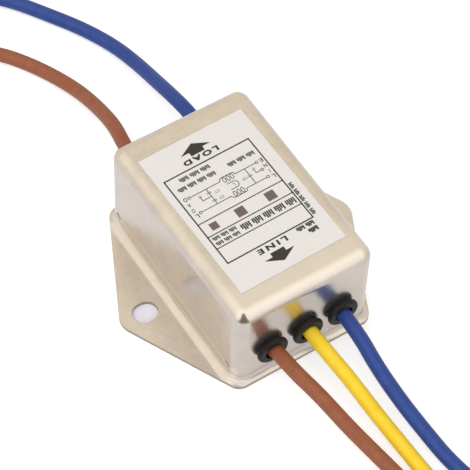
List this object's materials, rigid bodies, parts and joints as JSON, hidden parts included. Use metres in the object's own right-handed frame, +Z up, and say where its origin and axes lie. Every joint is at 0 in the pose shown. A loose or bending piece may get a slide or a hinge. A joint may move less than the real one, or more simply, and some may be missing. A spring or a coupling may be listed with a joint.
{
  "type": "emi line filter",
  "caption": "EMI line filter in a drawn steel can with slotted mounting ears, rubber grommets and free wire leads at both ends.",
  "frame": {"origin": "centre of the can's underside, in the plane of the mounting ears", "axes": "+X across the can towards one ear, +Y towards the LOAD leads, +Z up through the label"},
  "size_m": [0.0575, 0.2128, 0.0226],
  "materials": {
    "plated_steel": "bright tin plate on drawn steel",
    "label_film": "matt printed film",
    "grommet_rubber": "satin black rubber",
    "brown_insulation": "extruded PVC",
    "yellow_insulation": "extruded PVC",
    "blue_insulation": "extruded PVC",
    "tinned_metal": "tinned",
    "board_laminate": "coated glass laminate",
    "solder": "solder",
    "insulating_card": "pressboard",
    "ferrite": "coated ferrite",
    "enamelled_copper": "enamelled copper wire",
    "moulded_nylon": "moulded nylon",
    "capacitor_case": "moulded case",
    "disc_coating": "dipped epoxy"
  },
  "bodies": {
    "root": {"bottom_plate": "plated_steel", "can": "plated_steel", "choke_base": "moulded_nylon", "choke_core": "ferrite", "choke_winding_live": "enamelled_copper", "choke_winding_neutral": "enamelled_copper", "circuit_board": "board_laminate", "disc_capacitor_live": "disc_coating", "disc_capacitor_neutral": "disc_coating", "earth_tab": "tinned_metal", "film_capacitor": "capacitor_case", "insulating_card": "insulating_card", "line_grommet_earth": "grommet_rubber", "line_grommet_live": "grommet_rubber", "line_grommet_neutral": "grommet_rubber", "line_inner_lead_earth": "yellow_insulation", "line_inner_lead_live": "brown_insulation", "line_inner_lead_neutral": "blue_insulation", "line_stripped_end_earth": "tinned_metal", "line_stripped_end_live": "tinned_metal", "line_stripped_end_neutral": "tinned_metal", "line_wire_earth": "yellow_insulation", "line_wire_live": "brown_insulation", "line_wire_neutral": "blue_insulation", "load_grommet_live": "grommet_rubber", "load_grommet_neutral": "grommet_rubber", "load_inner_lead_live": "brown_insulation", "load_inner_lead_neutral": "blue_insulation", "load_stripped_end_live": "tinned_metal", "load_stripped_end_neutral": "tinned_metal", "load_wire_live": "brown_insulation", "load_wire_neutral": "blue_insulation", "rating_label": "label_film", "solder_joints": "solder"}
  },
  "joints": []
}
